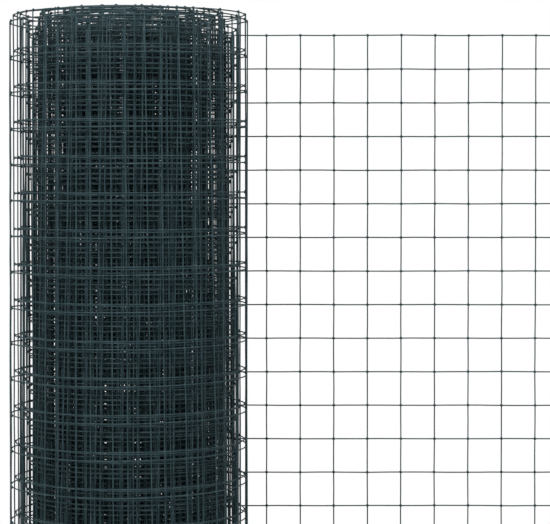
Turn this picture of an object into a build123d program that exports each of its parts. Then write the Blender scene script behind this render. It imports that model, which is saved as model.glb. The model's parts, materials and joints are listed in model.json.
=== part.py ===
"""Roll of welded wire fencing, standing on end with its free end unrolled flat.

The fencing is one long sheet of square welded mesh made of thin coated wire.
Most of it is wound into a roll about the Z axis. The wound part is a turned
solid with an open bore. Its turns show on both ends, where they have slid a
little past each other: the tight turns round the bore stand in steps, three
turns to a step, and the outer turns have sprung loose, each a ring of its own
with a gap inside it. The free end leaves the roll at the back, a little above
the floor, and runs straight along +X as a flat sheet of bars, fused where they
cross.

Units are millimetres. The origin is on the roll's axis in the plane that it
stands on, +Z is up and the flat free end lies behind the roll at +Y.
"""

import os

from build123d import *

# The sheet of mesh
mesh_pitch = 25.0
wire_diameter = 0.9
cells_high = 20
turn_pitch = 1.15

# The tight turns round the bore. From the bore outwards their steps climb to
# the highest level and come down again, over and over
bore_radius = 24.0
pack_steps = 14
turns_per_step = 3
step_rise = 8.0
step_levels = 3

# The loose outer turns, from the pack outwards: the gap inside each turn, how
# far it stands above the floor, and how deep the gaps run in past all of them
loose_gaps = (3.0, 2.6, 1.6)
loose_lifts = (21.5, 20.5, 15.0)
loose_gap_depth = 4.0

# The flat free end: its uprights, the first of which lies against the roll
# beside the line where the sheet leaves it, and how far its foot hangs above
# the floor
free_uprights = 14
first_upright = -2.2
cut_stub = 3.0
free_end_lift = 13.0
free_end_clearance = 0.15

# Sizes that follow from the ones above
step_width = turns_per_step * turn_pitch
sheet_height = cells_high * mesh_pitch + wire_diameter
free_start = first_upright - wire_diameter / 2
free_stop = first_upright + (free_uprights - 1) * mesh_pitch + cut_stub


def step_lift(step):
    """Height above the floor of one step of the pack, counted from the bore."""
    climb = step_levels - 1
    return step_rise * (climb - abs(climb - step % (2 * climb)))


def wound_rings():
    """Inner radius, outer radius, lift and inner gap of every ring, from the bore outwards."""
    rings = []
    radius = bore_radius
    for step in range(pack_steps):
        rings.append((radius, radius + step_width, step_lift(step), 0.0))
        radius += step_width
    for gap, lift in zip(loose_gaps, loose_lifts):
        rings.append((radius + gap, radius + gap + turn_pitch, lift, gap))
        radius += gap + turn_pitch
    return rings


def end_outline(end_height, gap_floor):
    """Stepped outline of one end of the roll in radius and height, from the bore outwards."""
    points = []
    for inner, outer, lift, gap in wound_rings():
        if gap > 0:
            points.append((inner - gap, gap_floor))
            points.append((inner, gap_floor))
        points.append((inner, end_height + lift))
        points.append((outer, end_height + lift))
    return points


top_gap_floor = sheet_height + min(loose_lifts) - loose_gap_depth
foot_gap_floor = max(loose_lifts) + loose_gap_depth
top_outline = end_outline(sheet_height, top_gap_floor)
foot_outline = end_outline(0.0, foot_gap_floor)
roll_radius = top_outline[-1][0]

# The wound turns, turned about the roll's axis
with BuildPart() as wound_roll:
    with BuildSketch(Plane.XZ):
        with BuildLine():
            Polyline(*top_outline, *reversed(foot_outline), close=True)
        make_face()
    revolve(axis=Axis.Z)

# The flat free end: upright wires on the roll's side, line wires welded on behind them
upright_y = roll_radius + free_end_clearance + wire_diameter / 2
line_y = upright_y + wire_diameter
upright_places = [(first_upright + column * mesh_pitch, upright_y) for column in range(free_uprights)]
lowest_line = free_end_lift + wire_diameter / 2
line_places = [(line_y, lowest_line + row * mesh_pitch) for row in range(cells_high + 1)]

with BuildPart() as free_end:
    with BuildSketch(Plane.XY.offset(free_end_lift)):
        with Locations(*upright_places):
            Rectangle(wire_diameter, wire_diameter)
    extrude(amount=sheet_height)
    with BuildSketch(Plane.YZ.offset(free_start)):
        with Locations(*line_places):
            Rectangle(wire_diameter, wire_diameter)
    extrude(amount=free_stop - free_start)

wound_roll.part.label = "wound_roll"
free_end.part.label = "free_end"

os.makedirs("parts", exist_ok=True)
export_step(wound_roll.part, "parts/wound_roll.step")
export_step(free_end.part, "parts/free_end.step")
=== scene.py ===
"""Roll of welded wire fencing, standing on end with its free end unrolled flat.

The sheet is made as it is made for sale: flat, from line wires, uprights and the coated welds where
they cross. It is then wound along one spiral, from the cut edge of the free end inwards to the bore.
All sizes are in metres.
"""

import json
import logging
import math
import random
from dataclasses import dataclass, field
from enum import Enum
from typing import Iterable

import bpy
import numpy as np
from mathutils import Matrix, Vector


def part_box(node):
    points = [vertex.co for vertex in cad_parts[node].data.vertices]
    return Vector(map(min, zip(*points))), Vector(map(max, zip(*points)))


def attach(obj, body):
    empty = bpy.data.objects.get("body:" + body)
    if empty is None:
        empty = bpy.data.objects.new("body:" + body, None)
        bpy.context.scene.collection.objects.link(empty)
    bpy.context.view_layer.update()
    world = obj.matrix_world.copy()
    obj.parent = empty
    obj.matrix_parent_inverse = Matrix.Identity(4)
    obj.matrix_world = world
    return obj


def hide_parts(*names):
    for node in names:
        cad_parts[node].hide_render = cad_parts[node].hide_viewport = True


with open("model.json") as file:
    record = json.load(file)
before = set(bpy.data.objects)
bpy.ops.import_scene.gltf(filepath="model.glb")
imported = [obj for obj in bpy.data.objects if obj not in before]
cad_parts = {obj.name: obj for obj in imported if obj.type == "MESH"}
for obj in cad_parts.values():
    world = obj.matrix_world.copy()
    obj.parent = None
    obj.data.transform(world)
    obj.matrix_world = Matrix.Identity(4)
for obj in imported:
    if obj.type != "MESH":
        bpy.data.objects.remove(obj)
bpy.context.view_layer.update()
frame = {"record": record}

log = logging.getLogger("wire_fencing")

UV_MAP = "OFBake"
BODY = "root"
WHITE = (1.0, 1.0, 1.0, 1.0)
MM_PER_METRE = 1000
QUARTERS = 4

# How near vertices have to be for copies to be joined, and for a wire's open end to be found
JOIN_WITHIN = 0.00001
FIND_WITHIN = 0.0001


class Lay(Enum):
    """How a stretch of the sheet lies, as the name of the solid that it stands for."""

    FREE = "free_end"
    WOUND = "wound_roll"


class Run(Enum):
    """The way a wire runs in the flat sheet, as the number of its axis."""

    LINE = 0
    UPRIGHT = 2


class Band(Enum):
    """The bands of the baking map, from its foot up. All but the last have a row for each line wire."""

    LINES = 0
    UPRIGHTS = 1
    WELDS = 2
    CUT_ENDS = 3


def deselect_all() -> None:
    """Leaves nothing selected, so that an operator acts only on what is selected next."""
    for each in list(bpy.context.selected_objects):
        each.select_set(False)


def select_only(chosen: Iterable[bpy.types.Object]) -> bpy.types.Object:
    """Selects some objects and makes the first one active.

    Args:
        chosen: The objects to select.

    Returns:
        The active object.
    """
    deselect_all()
    objects = list(chosen)
    for each in objects:
        each.select_set(True)
    bpy.context.view_layer.objects.active = objects[0]
    return objects[0]


def apply_modifiers(piece: bpy.types.Object) -> None:
    """Applies all of a piece's modifiers, in their order."""
    select_only([piece])
    for modifier in list(piece.modifiers):
        bpy.ops.object.modifier_apply(modifier=modifier.name)


@dataclass(frozen=True)
class Gauge:
    """The mesh as it is sold: square cells of thin wire with a plastic coat."""

    pitch: float = 0.025
    wire: float = 0.0009
    stub: float = 0.003
    weld_half_width: float = 0.00125
    weld_half_depth: float = 0.00110

    def rows(self, height: float) -> int:
        """Counts the line wires of a sheet of the given height."""
        return round((height - self.wire) / self.pitch) + 1


@dataclass(frozen=True)
class Fineness:
    """How finely a stretch of the sheet is modelled."""

    sides: int
    line_spans: int
    upright_spans: int

    def ring_radius(self, wire: float) -> float:
        """Gives the corners' radius at which a many-sided wire looks as thick as a round one."""
        return wire / 2 * (math.pi / self.sides) / math.sin(math.pi / self.sides)


@dataclass(frozen=True)
class UvSlots:
    """A grid of places on the baking map: one for each cell's length of wire, weld and cut end.

    The cut ends, in the last band, take only as many rows as they fill.
    """

    columns: int
    line_wires: int
    margin: float = 0.08
    cap_radius: float = 0.3

    @property
    def rows(self) -> int:
        """Counts the rows of places."""
        cut_ends = 2 * (self.line_wires + self.columns)
        return self.first_row(Band.CUT_ENDS) + math.ceil(cut_ends / self.columns)

    def first_row(self, band: Band) -> int:
        """Gives the lowest row of a band."""
        return band.value * self.line_wires

    def fit(self, mesh: bpy.types.Mesh, spots: np.ndarray, band: Band) -> None:
        """Writes a cell's map into the first place of a band.

        Args:
            mesh: The cell's mesh.
            spots: Its map from 0 to 1 both ways, one line for each corner of a face.
            band: The band that it belongs to.
        """
        layer = mesh.uv_layers.get(UV_MAP) or mesh.uv_layers.new(name=UV_MAP)
        inside = self.margin + (1 - 2 * self.margin) * spots
        places = (inside + (0, self.first_row(band))) / (self.columns, self.rows)
        layer.data.foreach_set("uv", places.astype(np.float32).ravel())

    def cap_spot(self, cap: int, turn: float) -> tuple[float, float]:
        """Works out where a corner of a cut end lies on the map.

        Args:
            cap: The number of the cut end.
            turn: The corner's angle round it.

        Returns:
            The place, from 0 to 1 both ways.
        """
        column = cap % self.columns
        row = self.first_row(Band.CUT_ENDS) + cap // self.columns
        across = column + 0.5 + self.cap_radius * math.cos(turn)
        up = row + 0.5 + self.cap_radius * math.sin(turn)
        return across / self.columns, up / self.rows


@dataclass(frozen=True)
class Winding:
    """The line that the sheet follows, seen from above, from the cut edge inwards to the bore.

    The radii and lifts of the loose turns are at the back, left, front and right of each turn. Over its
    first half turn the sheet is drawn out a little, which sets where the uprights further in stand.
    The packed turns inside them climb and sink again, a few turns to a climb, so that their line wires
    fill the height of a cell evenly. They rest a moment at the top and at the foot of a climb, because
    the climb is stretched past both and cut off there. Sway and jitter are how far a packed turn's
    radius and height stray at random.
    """

    edge_x: float
    plane_y: float
    foot: float
    bore: float
    loose_radii: tuple[tuple[float, ...], ...] = (
        (0.0840, 0.0832, 0.0836, 0.0846),
        (0.0820, 0.0798, 0.0804, 0.0828),
        (0.0795, 0.0751, 0.0763, 0.0784),
        (0.0746, 0.0730, 0.0728, 0.0768),
        (0.0730, 0.0713, 0.0714, 0.0754),
        (0.0716, 0.0695, 0.0701, 0.0738),
    )
    loose_lifts: tuple[tuple[float, ...], ...] = (
        (0.0000, 0.0021, 0.0018, 0.0042),
        (0.0062, 0.0074, 0.0072, 0.0084),
        (0.0088, 0.0086, 0.0056, 0.0064),
        (0.0042, 0.0014, -0.0009, -0.0024),
        (-0.0034, -0.0042, -0.0049, -0.0060),
        (-0.0068, -0.0076, -0.0083, -0.0094),
    )
    drawn_out: float = 0.0050
    pack_radius: float = 0.0693
    pack_shift: float = 0.0025
    pack_turns: int = 36
    pack_bunching: float = 1.15
    pack_sway: float = 0.0004
    pack_clear: float = 0.0014
    pack_telescope: float = 0.0206
    core_rise: float = 0.0030
    core_clear: float = 0.0010
    turns_per_climb: float = 7.1
    climb_rest: float = 0.083
    pack_jitter: float = 0.0005
    steps_per_turn: int = 72
    free_steps: int = 39
    seed: int = 11

    def keys(self) -> tuple[np.ndarray, np.ndarray]:
        """Lists the radius and the lift of the sheet at every quarter of a turn.

        Returns:
            The radii and the lifts, from the free end inwards.
        """
        radii = [r for turn in self.loose_radii for r in turn]
        lifts = [z for turn in self.loose_lifts for z in turn]
        stray = random.Random(self.seed)
        tightest = self.bore + self.core_clear
        last = QUARTERS * self.pack_turns
        for quarter in range(last + 1):
            wound = quarter / last
            heading = math.tau / QUARTERS * (1 + quarter)
            middle = self.pack_radius + (tightest - self.pack_radius) * wound**self.pack_bunching
            aside = self.pack_shift * (1 - wound) * math.cos(heading)
            radii.append(middle + aside + stray.uniform(-self.pack_sway, self.pack_sway))
            climb = self.climb(quarter / QUARTERS, wound)
            jitter = stray.uniform(-self.pack_jitter, self.pack_jitter)
            lifts.append(self.pack_clear - self.foot + climb + jitter)
        return np.array(radii), np.array(lifts)

    def climb(self, turn: float, wound: float) -> float:
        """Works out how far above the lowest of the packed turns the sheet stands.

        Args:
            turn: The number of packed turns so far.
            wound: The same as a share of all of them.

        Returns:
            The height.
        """
        share = 1 - abs(1 - turn / self.turns_per_climb % 2)
        stretched = share * (1 + 2 * self.climb_rest) - self.climb_rest
        return min(max(stretched, 0), 1) * (self.pack_telescope + self.core_rise * wound)

    def points(self) -> np.ndarray:
        """Works out the points of the line, close enough together to look round.

        Returns:
            One line of x, y and z for each point.
        """
        radii, lifts = self.keys()
        last = len(radii) - 1
        fine = np.linspace(0, last, last * self.steps_per_turn // QUARTERS + 1)
        radius = smooth_through(fine, radii)
        height = smooth_through(fine, lifts)
        heading = math.tau / QUARTERS * (1 + fine)
        wound = np.column_stack((radius * np.cos(heading), radius * np.sin(heading), height))
        edge = (self.edge_x, self.plane_y, 0)
        roll = (0, self.plane_y, 0)
        free = np.linspace(edge, roll, self.free_steps + 1)[:-1]
        return np.vstack((free, wound))

    def distances(self) -> np.ndarray:
        """Measures how far along the sheet each point of the line is, seen from above."""
        steps = np.linalg.norm(np.diff(self.points()[:, :2], axis=0), axis=1)
        return np.concatenate(((0,), np.cumsum(steps)))

    def length(self) -> float:
        """Gives the length of the line."""
        return float(self.distances()[-1])

    def loose_length(self, turns: int) -> float:
        """Gives the length of some loose turns, from the outermost inwards."""
        return math.tau * sum(sum(radii) / len(radii) for radii in self.loose_radii[:turns])

    def settle(self, mesh: bpy.types.Mesh, height: float) -> None:
        """Lifts a flat stretch to the heights of its turns, and leans its uprights to suit.

        Args:
            mesh: The flat stretch.
            height: The height of the sheet.
        """
        places = np.empty(3 * len(mesh.vertices))
        mesh.vertices.foreach_get("co", places)
        places = places.reshape(-1, 3)
        along, lifts = self.distances(), self.points()[:, 2]
        half_turn = math.pi * self.plane_y
        places[:, 0] += self.drawn_out * np.clip((places[:, 0] - self.edge_x) / half_turn, 0, 1)
        lift = np.interp(places[:, 0], along, lifts)
        slope = np.interp(places[:, 0], along, np.gradient(lifts, along))
        places[:, 0] -= slope * (places[:, 2] - height / 2)
        places[:, 2] += lift + self.foot
        mesh.vertices.foreach_set("co", places.ravel())
        mesh.update()

    def guide(self) -> bpy.types.Object:
        """Makes the curve that the flat sheet is bent along.

        Returns:
            The curve object, which is removed once the sheet is wound.
        """
        deselect_all()
        bpy.ops.curve.primitive_nurbs_path_add(location=(0, 0, 0))
        guide = bpy.context.active_object
        guide.name = "winding_line"
        line = guide.data
        line.splines.clear()
        line.dimensions = "2D"
        spline = line.splines.new("POLY")
        places = self.points() * (1, 1, 0)
        spline.points.add(len(places) - 1)
        weighted = np.column_stack((places, np.ones(len(places))))
        spline.points.foreach_set("co", weighted.astype(np.float32).ravel())
        return guide


def smooth_through(places: np.ndarray, keys: np.ndarray) -> np.ndarray:
    """Runs a smooth curve through values given at whole places.

    Args:
        places: Where to read the curve, from 0 to the last key.
        keys: The values at the whole places 0, 1, 2 and so on.

    Returns:
        The curve's value at each place.
    """
    slopes = np.gradient(keys)
    first = np.minimum(places.astype(int), len(keys) - 2)
    t = places - first
    start, end = keys[first], keys[first + 1]
    leave, arrive = slopes[first], slopes[first + 1]
    return (
        start * (1 + 2 * t) * (1 - t) ** 2
        + leave * t * (1 - t) ** 2
        + end * t * t * (3 - 2 * t)
        - arrive * t * t * (1 - t)
    )


@dataclass(frozen=True)
class CoatedWire:
    """Dark green plastic coat, slightly mottled, with a soft gloss."""

    dark: tuple[float, ...] = (0.011, 0.025, 0.030, 1.0)
    light: tuple[float, ...] = (0.028, 0.050, 0.056, 1.0)
    dark_until: float = 0.35
    light_from: float = 0.70
    mottle_scale: float = 140.0
    mottle_detail: float = 3.0
    smoothest: float = 0.42
    roughest: float = 0.60
    sheen: float = 0.1
    grain_scale: float = 1400.0
    grain_strength: float = 0.35
    grain_depth: float = 0.00015

    def material(self) -> bpy.types.Material:
        """Makes the coat's material.

        Returns:
            The material, with its pattern on Object coordinates.
        """
        coat = bpy.data.materials.new("coated_wire_green")
        coat.use_nodes = True
        nodes, links = coat.node_tree.nodes, coat.node_tree.links
        shader = nodes["Principled BSDF"]
        shader.inputs["Specular IOR Level"].default_value = self.sheen
        places = nodes.new("ShaderNodeTexCoord")
        mottle = nodes.new("ShaderNodeTexNoise")
        mottle.inputs["Scale"].default_value = self.mottle_scale
        mottle.inputs["Detail"].default_value = self.mottle_detail
        links.new(places.outputs["Object"], mottle.inputs["Vector"])
        tint = nodes.new("ShaderNodeValToRGB")
        tint.color_ramp.elements[0].position = self.dark_until
        tint.color_ramp.elements[0].color = self.dark
        tint.color_ramp.elements[1].position = self.light_from
        tint.color_ramp.elements[1].color = self.light
        links.new(mottle.outputs["Fac"], tint.inputs["Fac"])
        links.new(tint.outputs["Color"], shader.inputs["Base Color"])
        gloss = nodes.new("ShaderNodeMapRange")
        gloss.inputs["To Min"].default_value = self.smoothest
        gloss.inputs["To Max"].default_value = self.roughest
        links.new(mottle.outputs["Fac"], gloss.inputs["Value"])
        links.new(gloss.outputs["Result"], shader.inputs["Roughness"])
        grain = nodes.new("ShaderNodeTexNoise")
        grain.inputs["Scale"].default_value = self.grain_scale
        links.new(places.outputs["Object"], grain.inputs["Vector"])
        bump = nodes.new("ShaderNodeBump")
        bump.inputs["Strength"].default_value = self.grain_strength
        bump.inputs["Distance"].default_value = self.grain_depth
        links.new(grain.outputs["Fac"], bump.inputs["Height"])
        links.new(bump.outputs["Normal"], shader.inputs["Normal"])
        return coat


@dataclass
class Stretch:
    """A stretch of the sheet, from one upright to another, made flat and then wound.

    The line wires are on the side of the bore, and the uprights outside them.
    """

    name: str
    lay: Lay
    first: int
    columns: int
    fineness: Fineness
    gauge: Gauge
    height: float
    starts_cut: bool = False
    ends_cut: bool = False
    ripple: float = 0.0006
    ripple_scale: float = 0.03
    piece: bpy.types.Object = field(init=False)

    @property
    def rows(self) -> int:
        """Counts the line wires."""
        return self.gauge.rows(self.height)

    @property
    def start(self) -> float:
        """Gives the first upright's distance from the cut edge."""
        return self.gauge.stub + self.first * self.gauge.pitch

    @property
    def slots(self) -> UvSlots:
        """Gives the grid of places on the stretch's baking map."""
        return UvSlots(columns=self.columns, line_wires=self.rows)

    def wire(self, run: Run, side: float, band: Band) -> bpy.types.Object:
        """Extrudes one cell's length of wire from a ring.

        Args:
            run: Which way the wire runs.
            side: How far it stands from the middle of the sheet, towards the bore.
            band: Its band of the baking map.

        Returns:
            The wire, open at both ends, with its place in its mesh.
        """
        spans = self.fineness.line_spans if run is Run.LINE else self.fineness.upright_spans
        turned = (0, math.pi / 2, 0) if run is Run.LINE else (0, 0, 0)
        deselect_all()
        bpy.ops.mesh.primitive_circle_add(
            vertices=self.fineness.sides,
            radius=self.fineness.ring_radius(self.gauge.wire),
            calc_uvs=False,
            location=(self.start, side, self.gauge.wire / 2),
            rotation=turned,
        )
        wire = bpy.context.active_object
        bpy.ops.object.transform_apply(location=True, rotation=True, scale=True)
        bpy.ops.object.mode_set(mode="EDIT")
        bpy.ops.mesh.select_all(action="SELECT")
        step = Vector((0, 0, 0))
        step[run.value] = self.gauge.pitch / spans
        for _ in range(spans):
            bpy.ops.mesh.extrude_edges_move(TRANSFORM_OT_translate={"value": step})
        bpy.ops.mesh.select_all(action="SELECT")
        bpy.ops.mesh.normals_make_consistent(inside=False)
        bpy.ops.object.mode_set(mode="OBJECT")
        self.slots.fit(wire.data, strip_map(wire.data, run, side, self), band)
        return wire

    def weld(self) -> bpy.types.Object:
        """Models the coat's lump where a line wire crosses an upright.

        Returns:
            The lump at the first crossing.
        """
        deselect_all()
        bpy.ops.mesh.primitive_ico_sphere_add(
            subdivisions=1, radius=self.gauge.weld_half_width, location=(0, 0, 0)
        )
        lump = bpy.context.active_object
        bpy.ops.object.mode_set(mode="EDIT")
        bpy.ops.mesh.select_all(action="SELECT")
        deeper = self.gauge.weld_half_depth / self.gauge.weld_half_width
        bpy.ops.transform.resize(value=(1, deeper, 1))
        bpy.ops.transform.translate(value=(self.start, 0, self.gauge.wire / 2))
        bpy.ops.object.mode_set(mode="OBJECT")
        own = lump.data.uv_layers[0]
        spots = np.empty(2 * len(lump.data.loops), dtype=np.float32)
        own.data.foreach_get("uv", spots)
        own.name = UV_MAP
        self.slots.fit(lump.data, spots.reshape(-1, 2), Band.WELDS)
        return lump

    def repeat(self, cell: bpy.types.Object, across: int, up: int, run: Run | None) -> None:
        """Repeats a cell's piece over the stretch.

        Args:
            cell: The piece to repeat.
            across: How many along the sheet.
            up: How many up the sheet.
            run: The way a wire runs, along which its copies are joined.
        """
        for way, count in ((Run.LINE, across), (Run.UPRIGHT, up)):
            array = cell.modifiers.new("repeat", "ARRAY")
            array.count = count
            array.use_relative_offset = False
            array.use_constant_offset = True
            offset = Vector((0, 0, 0))
            offset[way.value] = self.gauge.pitch
            array.constant_offset_displace = offset
            array.use_merge_vertices = run is way
            array.merge_threshold = JOIN_WITHIN
            if way is Run.LINE:
                array.offset_u = 1 / self.slots.columns
            else:
                array.offset_v = 1 / self.slots.rows
        apply_modifiers(cell)

    def build(self, winding: Winding, guide: bpy.types.Object) -> bpy.types.Object:
        """Makes the stretch flat, closes its cut ends and winds it.

        Args:
            winding: The winding that it belongs to.
            guide: The curve to bend it along.

        Returns:
            The finished piece.
        """
        half = self.gauge.wire / 2
        line_cells = self.columns - 1 if self.ends_cut else self.columns
        lines = self.wire(Run.LINE, half, Band.LINES)
        self.repeat(lines, line_cells, self.rows, Run.LINE)
        uprights = self.wire(Run.UPRIGHT, -half, Band.UPRIGHTS)
        self.repeat(uprights, self.columns, self.rows - 1, Run.UPRIGHT)
        welds = self.weld()
        self.repeat(welds, self.columns, self.rows, None)
        self.lengthen_ends(lines, uprights)
        self.piece = select_only([lines, uprights, welds])
        bpy.ops.object.join()
        self.piece.name = self.name
        self.piece.data.name = self.name
        self.close_ends()
        self.wind(winding, guide)
        return self.piece

    def lengthen_ends(self, lines: bpy.types.Object, uprights: bpy.types.Object) -> None:
        """Draws out the line wires' stubs past the cut edges, and the uprights to the full height.

        Args:
            lines: The line wires.
            uprights: The uprights.
        """
        if self.starts_cut:
            move_ring(lines, Run.LINE, self.start, -self.gauge.stub)
        if self.ends_cut:
            last_upright = self.start + self.gauge.pitch * (self.columns - 1)
            move_ring(lines, Run.LINE, last_upright, self.gauge.stub)
        half = self.gauge.wire / 2
        move_ring(uprights, Run.UPRIGHT, half, -half)
        move_ring(uprights, Run.UPRIGHT, self.height - half, half)

    def close_ends(self) -> None:
        """Closes every wire's ends and gives the new faces places on the baking map."""
        select_only([self.piece])
        bpy.ops.object.mode_set(mode="EDIT")
        bpy.ops.mesh.select_all(action="SELECT")
        bpy.ops.mesh.fill_holes(sides=self.fineness.sides)
        bpy.ops.mesh.select_all(action="SELECT")
        bpy.ops.mesh.normals_make_consistent(inside=False)
        bpy.ops.mesh.faces_shade_smooth()
        bpy.ops.object.mode_set(mode="OBJECT")
        sides = self.fineness.sides
        slots = self.slots
        caps = [face for face in self.piece.data.polygons if len(face.vertices) == sides]
        spots = self.piece.data.uv_layers[UV_MAP].data
        for cap, face in enumerate(caps):
            face.use_smooth = False
            for corner, loop in enumerate(face.loop_indices):
                spots[loop].uv = slots.cap_spot(cap, math.tau * corner / sides)

    def wind(self, winding: Winding, guide: bpy.types.Object) -> None:
        """Gives the flat stretch its small waves and its heights, and bends it along the guide.

        Args:
            winding: The winding that it belongs to.
            guide: The curve to bend it along.
        """
        waves = bpy.data.textures.get("wire_waves") or bpy.data.textures.new("wire_waves", "CLOUDS")
        waves.noise_scale = self.ripple_scale
        waves.cloud_type = "COLOR"
        ripple = self.piece.modifiers.new("ripple", "DISPLACE")
        ripple.texture = waves
        ripple.texture_coords = "LOCAL"
        ripple.direction = "RGB_TO_XYZ"
        ripple.mid_level = 0.5
        ripple.strength = self.ripple
        apply_modifiers(self.piece)
        winding.settle(self.piece.data, self.height)
        bend = self.piece.modifiers.new("bend", "CURVE")
        bend.object = guide
        bend.deform_axis = "POS_X"
        apply_modifiers(self.piece)

    def dress(self, coat: bpy.types.Material) -> None:
        """Gives the piece its coat, and ties it to the solid that it stands for.

        Args:
            coat: The plastic coat.
        """
        self.piece.data.materials.clear()
        self.piece.data.materials.append(coat)
        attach(self.piece, BODY)
        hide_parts(self.lay.value)


def strip_map(mesh: bpy.types.Mesh, run: Run, side: float, stretch: Stretch) -> np.ndarray:
    """Unrolls a short wire into a strip that fills a square.

    Args:
        mesh: The wire's mesh.
        run: Which way the wire runs.
        side: How far it stands from the middle of the sheet.
        stretch: The stretch that it belongs to.

    Returns:
        The map of each corner of each face, from 0 to 1 both ways.
    """
    spots = np.empty((len(mesh.loops), 2))
    centre = Vector((stretch.start, side, stretch.gauge.wire / 2))
    across = (Run.UPRIGHT if run is Run.LINE else Run.LINE).value
    for face in mesh.polygons:
        middle = Vector(face.center) - centre
        facing = math.atan2(middle.y, middle[across]) % math.tau
        for loop in face.loop_indices:
            corner = mesh.vertices[mesh.loops[loop].vertex_index].co - centre
            turn = math.atan2(corner.y, corner[across]) % math.tau
            turn += math.tau * round((facing - turn) / math.tau)
            spots[loop] = turn / math.tau, corner[run.value] / stretch.gauge.pitch
    return spots


def move_ring(wires: bpy.types.Object, run: Run, place: float, distance: float) -> None:
    """Slides the open ends of some wires along.

    Args:
        wires: The wires.
        run: Which way they run.
        place: Where the open ends are.
        distance: How far to slide them.
    """
    select_only([wires])
    bpy.ops.object.mode_set(mode="EDIT")
    bpy.ops.mesh.select_all(action="DESELECT")
    bpy.ops.object.mode_set(mode="OBJECT")
    for vertex in wires.data.vertices:
        vertex.select = abs(vertex.co[run.value] - place) < FIND_WITHIN
    bpy.ops.object.mode_set(mode="EDIT")
    shift = Vector((0, 0, 0))
    shift[run.value] = distance
    bpy.ops.transform.translate(value=shift)
    bpy.ops.object.mode_set(mode="OBJECT")


@dataclass(frozen=True)
class FencingRoll:
    """The whole roll: the sheet from its cut edge to its end in the bore."""

    gauge: Gauge = Gauge()
    fine: Fineness = Fineness(sides=8, line_spans=3, upright_spans=2)
    plain: Fineness = Fineness(sides=6, line_spans=3, upright_spans=1)
    fine_turns: int = 3
    plain_pieces: int = 5

    def winding(self) -> Winding:
        """Reads the free end's and the bore's places from the frame.

        Returns:
            The line that the sheet follows.
        """
        low, high = (Vector(corner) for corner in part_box(Lay.FREE.value))
        bore = next(mount for mount in frame["record"]["mounts"] if mount["name"] == "bore")
        radius = bore["dims"]["r_mm"] / MM_PER_METRE
        return Winding(edge_x=high.x, plane_y=(low.y + high.y) / 2, foot=low.z, bore=radius)

    def plan(self, winding: Winding) -> list[Stretch]:
        """Divides the sheet into stretches: the free end, the loose turns and the tight ones.

        Args:
            winding: The line that the sheet follows.

        Returns:
            The stretches, from the cut edge inwards.
        """
        low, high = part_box(Lay.FREE.value)
        free = int((winding.edge_x - self.gauge.stub) / self.gauge.pitch) + 1
        usable = winding.length() - winding.drawn_out - 2 * self.gauge.stub
        total = int(usable / self.gauge.pitch) + 1
        loose = round(winding.loose_length(self.fine_turns) / self.gauge.pitch)
        tight = math.ceil((total - free - loose) / self.plain_pieces)
        shares = [
            ("free_end_mesh", Lay.FREE, free, self.fine),
            ("loose_turns", Lay.WOUND, loose, self.fine),
        ]
        for count in range(self.plain_pieces):
            shares.append((f"tight_turns_{count + 1}", Lay.WOUND, tight, self.plain))
        stretches = []
        first = 0
        for name, lay, share, fineness in shares:
            columns = min(share, total - first)
            stretch = Stretch(
                name=name,
                lay=lay,
                first=first,
                columns=columns,
                fineness=fineness,
                gauge=self.gauge,
                height=high[2] - low[2],
                starts_cut=first == 0,
                ends_cut=first + columns == total,
            )
            stretches.append(stretch)
            first += columns
        return stretches

    def build(self, coat: bpy.types.Material) -> None:
        """Makes every stretch of the sheet and dresses it.

        Args:
            coat: The plastic coat.
        """
        winding = self.winding()
        guide = winding.guide()
        stretches = self.plan(winding)
        for stretch in stretches:
            piece = stretch.build(winding, guide)
            stretch.dress(coat)
            triangles = sum(len(face.vertices) - 2 for face in piece.data.polygons)
            log.info("%s: %d columns, %d triangles", stretch.name, stretch.columns, triangles)
        line = guide.data
        bpy.data.objects.remove(guide)
        bpy.data.curves.remove(line)
        uprights = sum(stretch.columns for stretch in stretches)
        log.info("sheet length %.2f m, %d uprights", winding.length(), uprights)


@dataclass(frozen=True)
class Lamp:
    """A soft square lamp, which faces a little above the roll's middle."""

    name: str
    place: tuple[float, float, float]
    power: float
    size: float = 0.7
    aim: tuple[float, float, float] = (0.0, 0.0, 0.3)

    def build(self) -> None:
        """Hangs the lamp."""
        deselect_all()
        bpy.ops.object.light_add(type="AREA", location=self.place)
        lamp = bpy.context.active_object
        lamp.name = self.name
        lamp.data.shape = "SQUARE"
        lamp.data.size = self.size
        lamp.data.energy = self.power
        direction = Vector(self.aim) - Vector(self.place)
        lamp.rotation_euler = direction.to_track_quat("-Z", "Y").to_euler()


def add_rays(nodes: bpy.types.Nodes, links: bpy.types.NodeLinks) -> bpy.types.NodeSocket:
    """Adds up the rays that are to see white: the camera's, mirrored ones and those through glass.

    Args:
        nodes: The tree's nodes.
        links: The tree's links.

    Returns:
        A socket that is 1 on those rays and 0 on others.
    """
    rays = nodes.new("ShaderNodeLightPath")
    seen = rays.outputs["Is Camera Ray"]
    for kind in ("Is Glossy Ray", "Is Transmission Ray"):
        either = nodes.new("ShaderNodeMath")
        either.operation = "MAXIMUM"
        links.new(seen, either.inputs[0])
        links.new(rays.outputs[kind], either.inputs[1])
        seen = either.outputs[0]
    return seen


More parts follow.
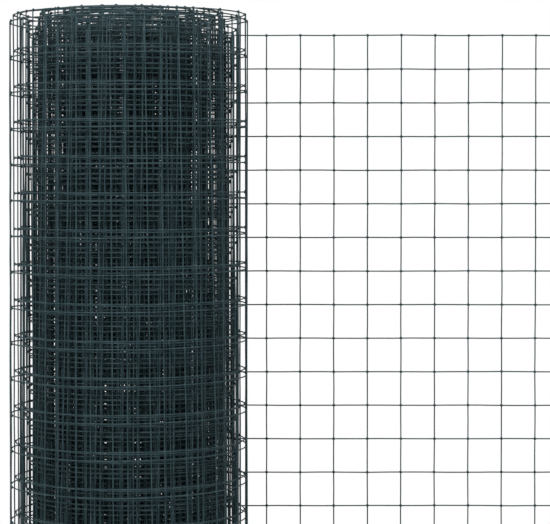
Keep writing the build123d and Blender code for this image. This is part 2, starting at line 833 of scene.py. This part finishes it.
@dataclass(frozen=True)
class Studio:
    """Plain pale floor, white surroundings and soft light.

    The floor shows its shadows round the roll, and fades to the surroundings' white further out. What
    is seen of it is part paint and part glow, which keeps it near white: a much brighter floor would
    swallow the thin wires in front of it.
    """

    lamps: tuple[Lamp, ...] = (
        Lamp("front_lamp", (-0.1, -0.8, 1.5), 20.0),
        Lamp("left_lamp", (-0.8, -0.9, 1.05), 15.0),
        Lamp("right_lamp", (1.1, -0.9, 1.05), 14.0),
    )
    floor_size: float = 14.0
    floor_roughness: float = 0.9
    floor_colour: float = 0.80
    near_colour: float = 0.50
    near_glow: float = 0.40
    far_glow: float = 1.0
    fade_start: float = 0.4
    fade_end: float = 1.1
    world_light: float = 0.03

    def floor(self) -> bpy.types.Object:
        """Lays the pale floor, which keeps the roll's shadow.

        Returns:
            The floor.
        """
        deselect_all()
        bpy.ops.mesh.primitive_plane_add(size=self.floor_size, location=(0, 0, 0))
        floor = bpy.context.active_object
        floor.name = "floor"
        paint = bpy.data.materials.new("pale_floor")
        paint.use_nodes = True
        nodes, links = paint.node_tree.nodes, paint.node_tree.links
        shader = nodes["Principled BSDF"]
        shader.inputs["Roughness"].default_value = self.floor_roughness
        shader.inputs["Specular IOR Level"].default_value = 0
        seen = add_rays(nodes, links)
        colour = nodes.new("ShaderNodeMapRange")
        colour.inputs["To Min"].default_value = self.floor_colour
        links.new(seen, colour.inputs["Value"])
        links.new(self.fade(nodes, links, self.near_colour, 0), colour.inputs["To Max"])
        links.new(colour.outputs["Result"], shader.inputs["Base Color"])
        glow = nodes.new("ShaderNodeMath")
        glow.operation = "MULTIPLY"
        links.new(seen, glow.inputs[0])
        links.new(self.fade(nodes, links, self.near_glow, self.far_glow), glow.inputs[1])
        shader.inputs["Emission Color"].default_value = WHITE
        links.new(glow.outputs[0], shader.inputs["Emission Strength"])
        floor.data.materials.append(paint)
        return floor

    def fade(
        self, nodes: bpy.types.Nodes, links: bpy.types.NodeLinks, near: float, far: float
    ) -> bpy.types.NodeSocket:
        """Makes a value that changes with the distance from the roll's axis.

        Args:
            nodes: The floor's nodes.
            links: The floor's links.
            near: The value beside the roll.
            far: The value further out.

        Returns:
            The socket that gives the value.
        """
        places = nodes.new("ShaderNodeTexCoord")
        distance = nodes.new("ShaderNodeVectorMath")
        distance.operation = "LENGTH"
        links.new(places.outputs["Object"], distance.inputs[0])
        fade = nodes.new("ShaderNodeMapRange")
        fade.inputs["From Min"].default_value = self.fade_start
        fade.inputs["From Max"].default_value = self.fade_end
        fade.inputs["To Min"].default_value = near
        fade.inputs["To Max"].default_value = far
        links.new(distance.outputs["Value"], fade.inputs["Value"])
        return fade.outputs["Result"]

    def world(self) -> None:
        """Surrounds the roll with soft even light that shows as white."""
        world = bpy.data.worlds.new("white_surroundings")
        bpy.context.scene.world = world
        world.use_nodes = True
        nodes, links = world.node_tree.nodes, world.node_tree.links
        background = nodes["Background"]
        background.inputs["Color"].default_value = WHITE
        seen = add_rays(nodes, links)
        strength = nodes.new("ShaderNodeMapRange")
        strength.inputs["To Min"].default_value = self.world_light
        strength.inputs["To Max"].default_value = 1.0
        links.new(seen, strength.inputs["Value"])
        links.new(strength.outputs["Result"], background.inputs["Strength"])

    def build(self) -> None:
        """Sets up the floor, the surroundings and the lamps."""
        self.floor()
        self.world()
        for lamp in self.lamps:
            lamp.build()
        log.info("studio set up")


@dataclass(frozen=True)
class Viewpoint:
    """Where the photograph was taken from: a little right of the roll, level with its upper third.

    The focal length is in pixels of the photograph's width.
    """

    image_width: int = 550
    focal_pixels: float = 2275.0
    distance: float = 1.6084
    side: float = 0.1040
    eye: float = 0.3750
    tilt: float = 0.0253
    sensor: float = 36.0
    sight: float = 50.0

    def build(self, foot: float) -> None:
        """Sets up the camera.

        Args:
            foot: The height of the free end's foot, from which the eye's height is measured.
        """
        deselect_all()
        place = (self.side, -self.distance, foot + self.eye)
        bpy.ops.object.camera_add(location=place, rotation=(math.pi / 2 - self.tilt, 0, 0))
        camera = bpy.context.active_object
        camera.name = "camera"
        camera.data.sensor_width = self.sensor
        camera.data.lens = self.focal_pixels / self.image_width * self.sensor
        camera.data.clip_end = self.sight
        bpy.context.scene.camera = camera
        log.info("camera set up")


def main() -> None:
    """Sets up the camera, the roll and the studio."""
    logging.basicConfig(level=logging.INFO, format="%(message)s")
    bpy.context.scene.view_settings.view_transform = "Standard"
    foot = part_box(Lay.FREE.value)[0][2]
    Viewpoint().build(foot)
    FencingRoll().build(CoatedWire().material())
    Studio().build()


if __name__ == "__main__":
    main()
